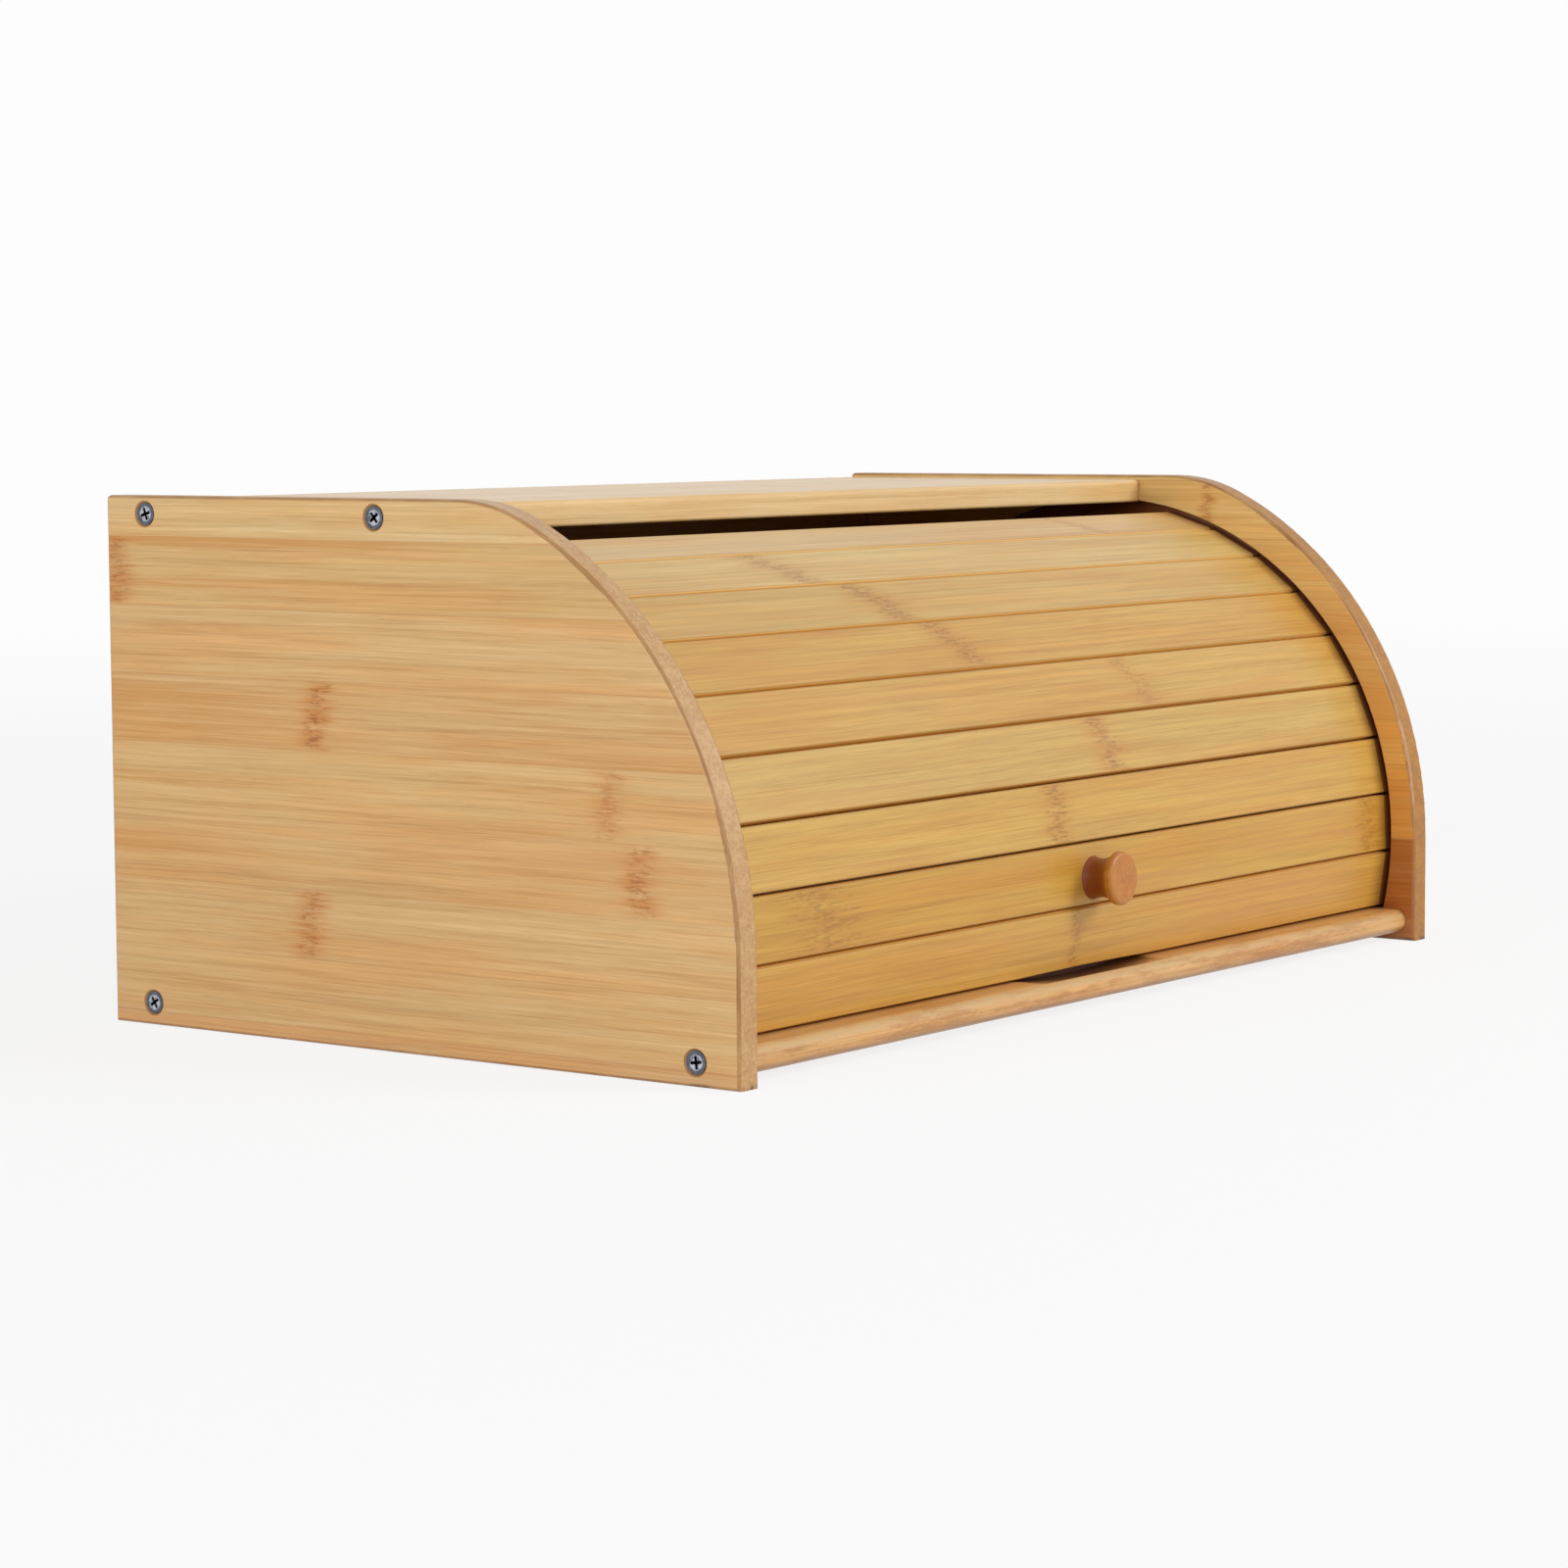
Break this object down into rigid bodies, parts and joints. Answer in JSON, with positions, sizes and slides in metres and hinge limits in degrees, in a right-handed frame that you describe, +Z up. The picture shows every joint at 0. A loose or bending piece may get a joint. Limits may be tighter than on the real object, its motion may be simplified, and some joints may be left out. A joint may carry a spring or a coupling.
{
  "type": "roll-top bread box",
  "caption": "Bamboo bread box with a rounded front closed by a roll-top curtain of slats that turns up and back in the side boards and is lifted by a small knob.",
  "frame": {"origin": "on the worktop, under the middle of the box", "axes": "+X to the right along the width as seen from the front, +Y from the front to the back, +Z up"},
  "size_m": [0.42, 0.2523, 0.1695],
  "materials": {
    "side_bamboo": "satin lacquered bamboo",
    "top_bamboo": "satin lacquered bamboo",
    "base_bamboo": "satin lacquered bamboo",
    "back_bamboo": "satin lacquered bamboo",
    "slat_bamboo": "satin lacquered bamboo",
    "knob_bamboo": "satin turned bamboo",
    "backing_cloth": "plain woven cotton",
    "screw_steel": "zinc plated"
  },
  "bodies": {
    "cabinet": {"left_side": "side_bamboo", "right_side": "side_bamboo", "top_panel": "top_bamboo", "base_panel": "base_bamboo", "back_panel": "back_bamboo", "left_top_screws": "screw_steel", "left_base_screws": "screw_steel", "right_top_screws": "screw_steel", "right_base_screws": "screw_steel"},
    "curtain": {"slat_01": "slat_bamboo", "slat_02": "slat_bamboo", "slat_03": "slat_bamboo", "slat_04": "slat_bamboo", "slat_05": "slat_bamboo", "slat_06": "slat_bamboo", "slat_07": "slat_bamboo", "slat_08": "slat_bamboo", "slat_09": "slat_bamboo", "curtain_backing": "backing_cloth", "knob": "knob_bamboo", "knob_screw": "screw_steel"}
  },
  "joints": [
    {"name": "curtain_turn", "type": "hinge", "parent": "cabinet", "child": "curtain", "pos_m": [0, 0.0058, 0.0385], "axis": [-1, 0, 0], "range_deg": [0, 76]}
  ]
}
